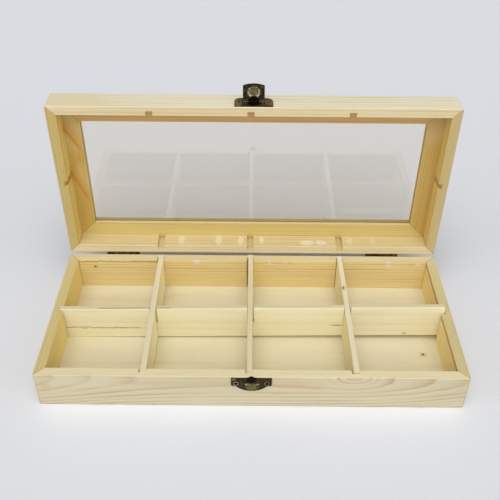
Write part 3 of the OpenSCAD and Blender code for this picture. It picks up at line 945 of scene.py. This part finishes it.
# %% Dress the lid's front and back rails
dress_board(
    "lid_front_rail",
    Board("X", (260, 420), ring=3, wave=1.2, lines=0.65, pale=(222, 212, 178), amber=(200, 176, 124),
          seed=10.2),
    # Painted light on the top, painted light and shade on the face that meets the base, painted shade
    # on the ledge.
    [Side("+Z", (1.17, 1.21, 1.35)),
     mating_face(0.98, 0.92, 0.83),
     ledge(0.95, 0.67, 0.36),
     Spot((-176, MATING + 13, LID_HIGH), (60, 40, 4), (227, 212, 174), 0.8, ragged=0.4),
     LID_MITRE])
dress_board(
    "lid_back_rail",
    Board("X", (250, -120), ring=2.2, wave=1.0, lines=0.7, pale=(222, 200, 136), amber=(196, 160, 88),
          seed=11.8),
    # Painted light and shade on the face that looks up, the face that meets the base and the ledge; the
    # outer face is paled to the colour of the rest of the box.
    [Side("+Z", (0.88, 0.93, 1.11)),
     Side("+Y", (1.0, 1.06, 1.35)),
     mating_face(1.02, 1.11, 1.64),
     ledge(0.93, 0.94, 0.81),
     *[smear(*one) for one in SMEARS],
     LID_MITRE])

# %% [markdown]
# ## The side rails
#
# Their grain stands upright. They could be copies of each other, but a pair that mirrors each other
# looks like plastic, so the two are cut from different boards. Pale spots stand for the planed
# patches on their ledges, and the left one has the two runs of resin.

# %% Dress the lid's side rails
dress_board(
    "lid_left_rail",
    Board("Z", (-390, 20), ring=2.6, wave=1.2, lines=0.5, pale=(216, 184, 116), amber=(184, 136, 62),
          seed=12.5),
    # Painted light and shade on the inner side, the face that meets the base and the ledge; the outer
    # face is paled to the colour of the rest of the box.
    [Side("+X", (1.12, 1.27, 1.03)),
     Side("+Y", (1.05, 1.2, 1.6)),
     mating_face(0.81, 0.9, 0.92),
     ledge(0.87, 0.85, 0.6),
     Spot((-173, LEDGE, 172), (15, 3, 30), (226, 204, 150), 0.4, ragged=0.4),
     Spot((-170, LEDGE, 118), (10, 3, 26), (226, 204, 150), 0.3, ragged=0.4),
     *resin(184, 154),
     *resin(136, 96),
     LID_MITRE])
dress_board(
    "lid_right_rail",
    Board("Z", (390, 20), ring=2.4, wave=1.0, lines=0.6, pale=(212, 184, 118), amber=(180, 142, 70),
          seed=13.6),
    # Painted light and shade on the inner side, the face that meets the base and the ledge; the outer
    # face is paled to the colour of the rest of the box.
    [Side("-X", (1.08, 1.11, 0.86)),
     Side("+Y", (1.07, 1.2, 1.6)),
     mating_face(0.85, 0.91, 1.1),
     ledge(0.91, 0.85, 0.67),
     Spot((173, LEDGE, 182), (15, 3, 30), (214, 188, 134), 0.5, ragged=0.4),
     LID_MITRE])

# %% [markdown]
# ## The pane
#
# The pane sits in a groove in the four rails. Dust or smears could go on it, but clean glass shows
# only what lies behind it and what it throws back, so it has no marks.

# %% Put the glass in
dress("glass_pane", clear_glass())
print("glass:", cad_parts["glass_pane"].active_material.name)

# %% [markdown]
# ## Wear, highlights and shade on the latch
#
# The latch is three stampings: the catch plate with its knob, the plate on the lid, and the hasp that
# swings between them. Thumbs have rubbed the plating through at the pad, the tips and the pocket.
# Painted highlights brighten the pad, the rings round the nails, the rim of the pocket and the hasp's
# top edge, and painted shade turns the knob and the neck round the pin black. Marks that reach through
# the whole plate colour its face and its edges alike, so they need no exact depth.

# %% Place the wear, highlights and shade on the latch
RUBBED_GLINT = (158, 146, 116)
DEEP_SHADE = (16, 10, 7)
NAIL_HEAD_R = 1.4
KNOB_R = 4.1
# How far the middle of the hasp's pocket lies above its pin
POCKET_RISE = 8.7
# Deep enough to colour a plate from its face to its back
THROUGH = 40
PLATE_PROUD = 1
PLATE_FACE = -HALF_D - PLATE_PROUD


def middle(node):
    low, high = span(node)
    return [(one + other) / 2 for one, other in zip(low, high)]


NAIL_X = span("catch_nails")[1][0] - NAIL_HEAD_R
NAIL_Z = middle("catch_nails")[2]
KNOB_Z = span("catch_plate")[1][2] - KNOB_R
PIN_Y, PIN_Z = middle("hasp_pin")[1:]
POCKET_Z = PIN_Z + POCKET_RISE
LATCH_RUBBING_AND_SHADING = {
    "catch_plate": [
        # The pad under the knob: rubbed, and lightened by a painted highlight.
        Spot((0.3, -HALF_D, NAIL_Z - 4.2), (7.4, THROUGH, 6.4), (122, 116, 66), 0.75, ragged=0.8),
        Spot((-9.5, -HALF_D, NAIL_Z - 1), (5, THROUGH, 5), (70, 64, 44), 0.6, ragged=0.9),
        Spot((8.5, -HALF_D, NAIL_Z - 2), (3.6, THROUGH, 4), (64, 70, 44), 0.4, ragged=0.9),
        Streak((6, PLATE_FACE, 36.8), (17.2, PLATE_FACE, 36.6), 2.2, (66, 42, 20), 0.8, fade=1),
        Spot((-15.5, -HALF_D, 36.5), (2.6, THROUGH, 1.8), RUBBED_GLINT, 0.5, ragged=0.9),
        # Painted highlights: a bright ring round each nail.
        RingHighlight((-NAIL_X, PLATE_FACE, NAIL_Z), 2.1, 0.7, RUBBED_GLINT, 0.6),
        RingHighlight((NAIL_X, PLATE_FACE, NAIL_Z), 2.1, 0.7, (132, 116, 88), 0.6),
        # The pad's rubbed edges beside the knob, with painted highlights.
        Spot((-4.3, -HALF_D, NAIL_Z - 0.7), (2.0, THROUGH, 1.3), (176, 170, 138), 0.85, ragged=0.6),
        Spot((5.2, -HALF_D, NAIL_Z - 0.6), (2.4, THROUGH, 1.2), (168, 160, 126), 0.85, ragged=0.6),
        # Painted shade and a dark reflection: the knob near black.
        Spot((0, -HALF_D, KNOB_Z), (4.9, THROUGH, 4.9), DEEP_SHADE, 1, ragged=0.1, core=0.9)],
    "hasp": [
        Spot((0, PIN_Y + 3, POCKET_Z - 0.3), (5.6, 4, 5.6), (120, 110, 70), 0.85, ragged=0.5, core=0.7),
        # A painted highlight round the rim of the pocket.
        RimHighlight((0, PIN_Y, POCKET_Z), (4.9, 4.7), 3.9, 1.1, (206, 194, 172), 0.95),
        Spot((0, PIN_Y, POCKET_Z - 5.2), (5.4, 5, 2.4), (56, 54, 34), 0.85, ragged=0.3, core=0.6),
        # Painted shade: black round the hasp's neck and pin.
        Spot((0, PIN_Y, PIN_Z + 0.6), (6.3, 4, 5.0), DEEP_SHADE, 1, ragged=0.15, core=0.85),
        # A painted highlight along the hasp's top edge.
        Streak((-7, PIN_Y, PIN_Z + 17), (7, PIN_Y, PIN_Z + 17), 0.9, (88, 96, 68), 0.9, fade=2)],
    "hasp_plate": [
        Spot((-14.5, PIN_Y - 1, PIN_Z), (5, 9, 4), (112, 90, 38), 0.8, ragged=0.9),
        Spot((14, PIN_Y + 1, PIN_Z), (5, 8, 4), (120, 84, 38), 0.8, ragged=0.9),
        Spot((-8.5, PIN_Y - 2.5, PIN_Z), (3.5, 1.6, 4), (126, 120, 92), 0.6, ragged=0.7),
        Spot((8.5, PIN_Y - 2.5, PIN_Z), (3.5, 1.6, 4), (126, 112, 92), 0.6, ragged=0.7),
        # Painted shade: black under the hasp's neck, between the plate's knuckles.
        Spot((0, PIN_Y, PIN_Z), (6, 6, 4), DEEP_SHADE, 1, ragged=0.2, core=0.8)],
}
print("knob at z", round(KNOB_Z, 2), "pin at z", round(PIN_Z, 2), "marks of wear:",
      sum(len(marks) for marks in LATCH_RUBBING_AND_SHADING.values()))

# %% [markdown]
# ## The rest of the hardware
#
# What isn't wood or glass is bronze: the latch with its wear and its painted highlights and shade, the
# hinges and the nails. One finish could do for all, but the nails are small and nearly black, so they
# get a darker one of their own.

# %% Dress the hardware
plain = antique_bronze("antique_bronze")
nails = antique_bronze("nail_bronze", dark=(26, 21, 12), olive=(60, 50, 28))
HARDWARE = [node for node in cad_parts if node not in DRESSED]
for node in HARDWARE:
    if node in LATCH_RUBBING_AND_SHADING:
        dress(node, antique_bronze(node + "_bronze", marks=LATCH_RUBBING_AND_SHADING[node]))
    else:
        dress(node, nails if "nails" in node else plain)
print("hardware:", len(HARDWARE), "with their own wear:", len(LATCH_RUBBING_AND_SHADING))

# %% [markdown]
# ## The floor
#
# The box stands on a wide pale floor. A curved backdrop could rise behind it, but one flat square is
# enough: it reaches beyond the view on all sides, and it takes the box's soft shadow. It isn't part of
# the box.

# %% Floor
FLOOR_HALF = 8
FLOOR_PAINT = paint(229, 231, 236)
FLOOR_ROUGHNESS = 0.9


def pale_floor():
    mesh = bpy.data.meshes.new("floor")
    corners = [(x * FLOOR_HALF, y * FLOOR_HALF, 0) for x, y in ((-1, -1), (1, -1), (1, 1), (-1, 1))]
    mesh.from_pydata(corners, [], [(0, 1, 2, 3)])
    piece = bpy.data.objects.new("floor", mesh)
    bpy.context.scene.collection.objects.link(piece)
    shader = new_shader("pale_floor")
    surface = shader.node("ShaderNodeBsdfPrincipled", {}, Base_Color=FLOOR_PAINT,
                          Roughness=FLOOR_ROUGHNESS)
    mesh.materials.append(shader.finish(surface))


pale_floor()
print("floor:", 2 * FLOOR_HALF, "m square")

# %% [markdown]
# ## Light
#
# The box is lit by the room it is in. One lamp stands for a high soft window in front of the box.
# Pale walls at its sides throw most of the rest back, so that boards which face sideways are as
# bright as those which face the viewer, while little comes from high up behind, where the lid would
# throw it on. Lamps could stand at the sides as well, but each would throw a shadow of its own.
# What the camera sees of the room beyond the floor, by itself or in the metal and the glass, is as
# pale as the floor, without more light on the box.

# %% Lamp and room
WINDOW_FROM = (-0.03, -0.44, 0.9)
WINDOW_POWER = 1.7
WINDOW_WIDTH = 50
ROOM_FRONT = 0.48
ROOM_SIDES = 1.55
ROOM_BACK = 0.03
ROOM_SEEN = (0.82, 0.83, 0.85, 1)
WHITE = (1, 1, 1, 1)
# Where the room's dark part, high up behind, starts and is whole, as parts of a direction
BEHIND = (-0.4, 0.15)
HIGH = (-0.1, 0.12)


def window():
    light = bpy.data.lights.new("window", "SUN")
    light.energy = WINDOW_POWER
    light.angle = math.radians(WINDOW_WIDTH)
    piece = bpy.data.objects.new("window", light)
    piece.rotation_euler = Vector(WINDOW_FROM).to_track_quat("Z", "Y").to_euler()
    bpy.context.scene.collection.objects.link(piece)


def room():
    """Pale walls at the sides, little light from behind and above, and a plain pale view."""
    shader = Shader(bpy.data.worlds.new("room"))
    front, sides, back = [shader.node("ShaderNodeBackground", {}, WHITE, strength)
                          for strength in (ROOM_FRONT, ROOM_SIDES, ROOM_BACK)]
    aside, behind, up = shader.node("ShaderNodeTexCoord", {}).axes().values()
    lit = shader.node("ShaderNodeMixShader", {}, aside.size(), front, sides)
    high_behind = behind.smooth(*BEHIND) * up.smooth(*HIGH)
    lit = shader.node("ShaderNodeMixShader", {}, high_behind, lit, back)
    seen = shader.node("ShaderNodeBackground", {}, ROOM_SEEN)
    rays = [shader.node("ShaderNodeLightPath", {}, output=kind)
            for kind in ("Is Camera Ray", "Is Glossy Ray", "Is Transmission Ray")]
    view = shader.node("ShaderNodeMixShader", {}, rays[0] + rays[1] + rays[2] > 0, lit, seen)
    bpy.context.scene.world = shader.finish(view, "ShaderNodeOutputWorld")


window()
room()
bpy.context.scene.view_settings.view_transform = "Standard"
print("window from", WINDOW_FROM, "power", WINDOW_POWER, "room", ROOM_FRONT, ROOM_SIDES, ROOM_BACK)

# %% [markdown]
# ## Finish
#
# A finish must not make the box any bigger.
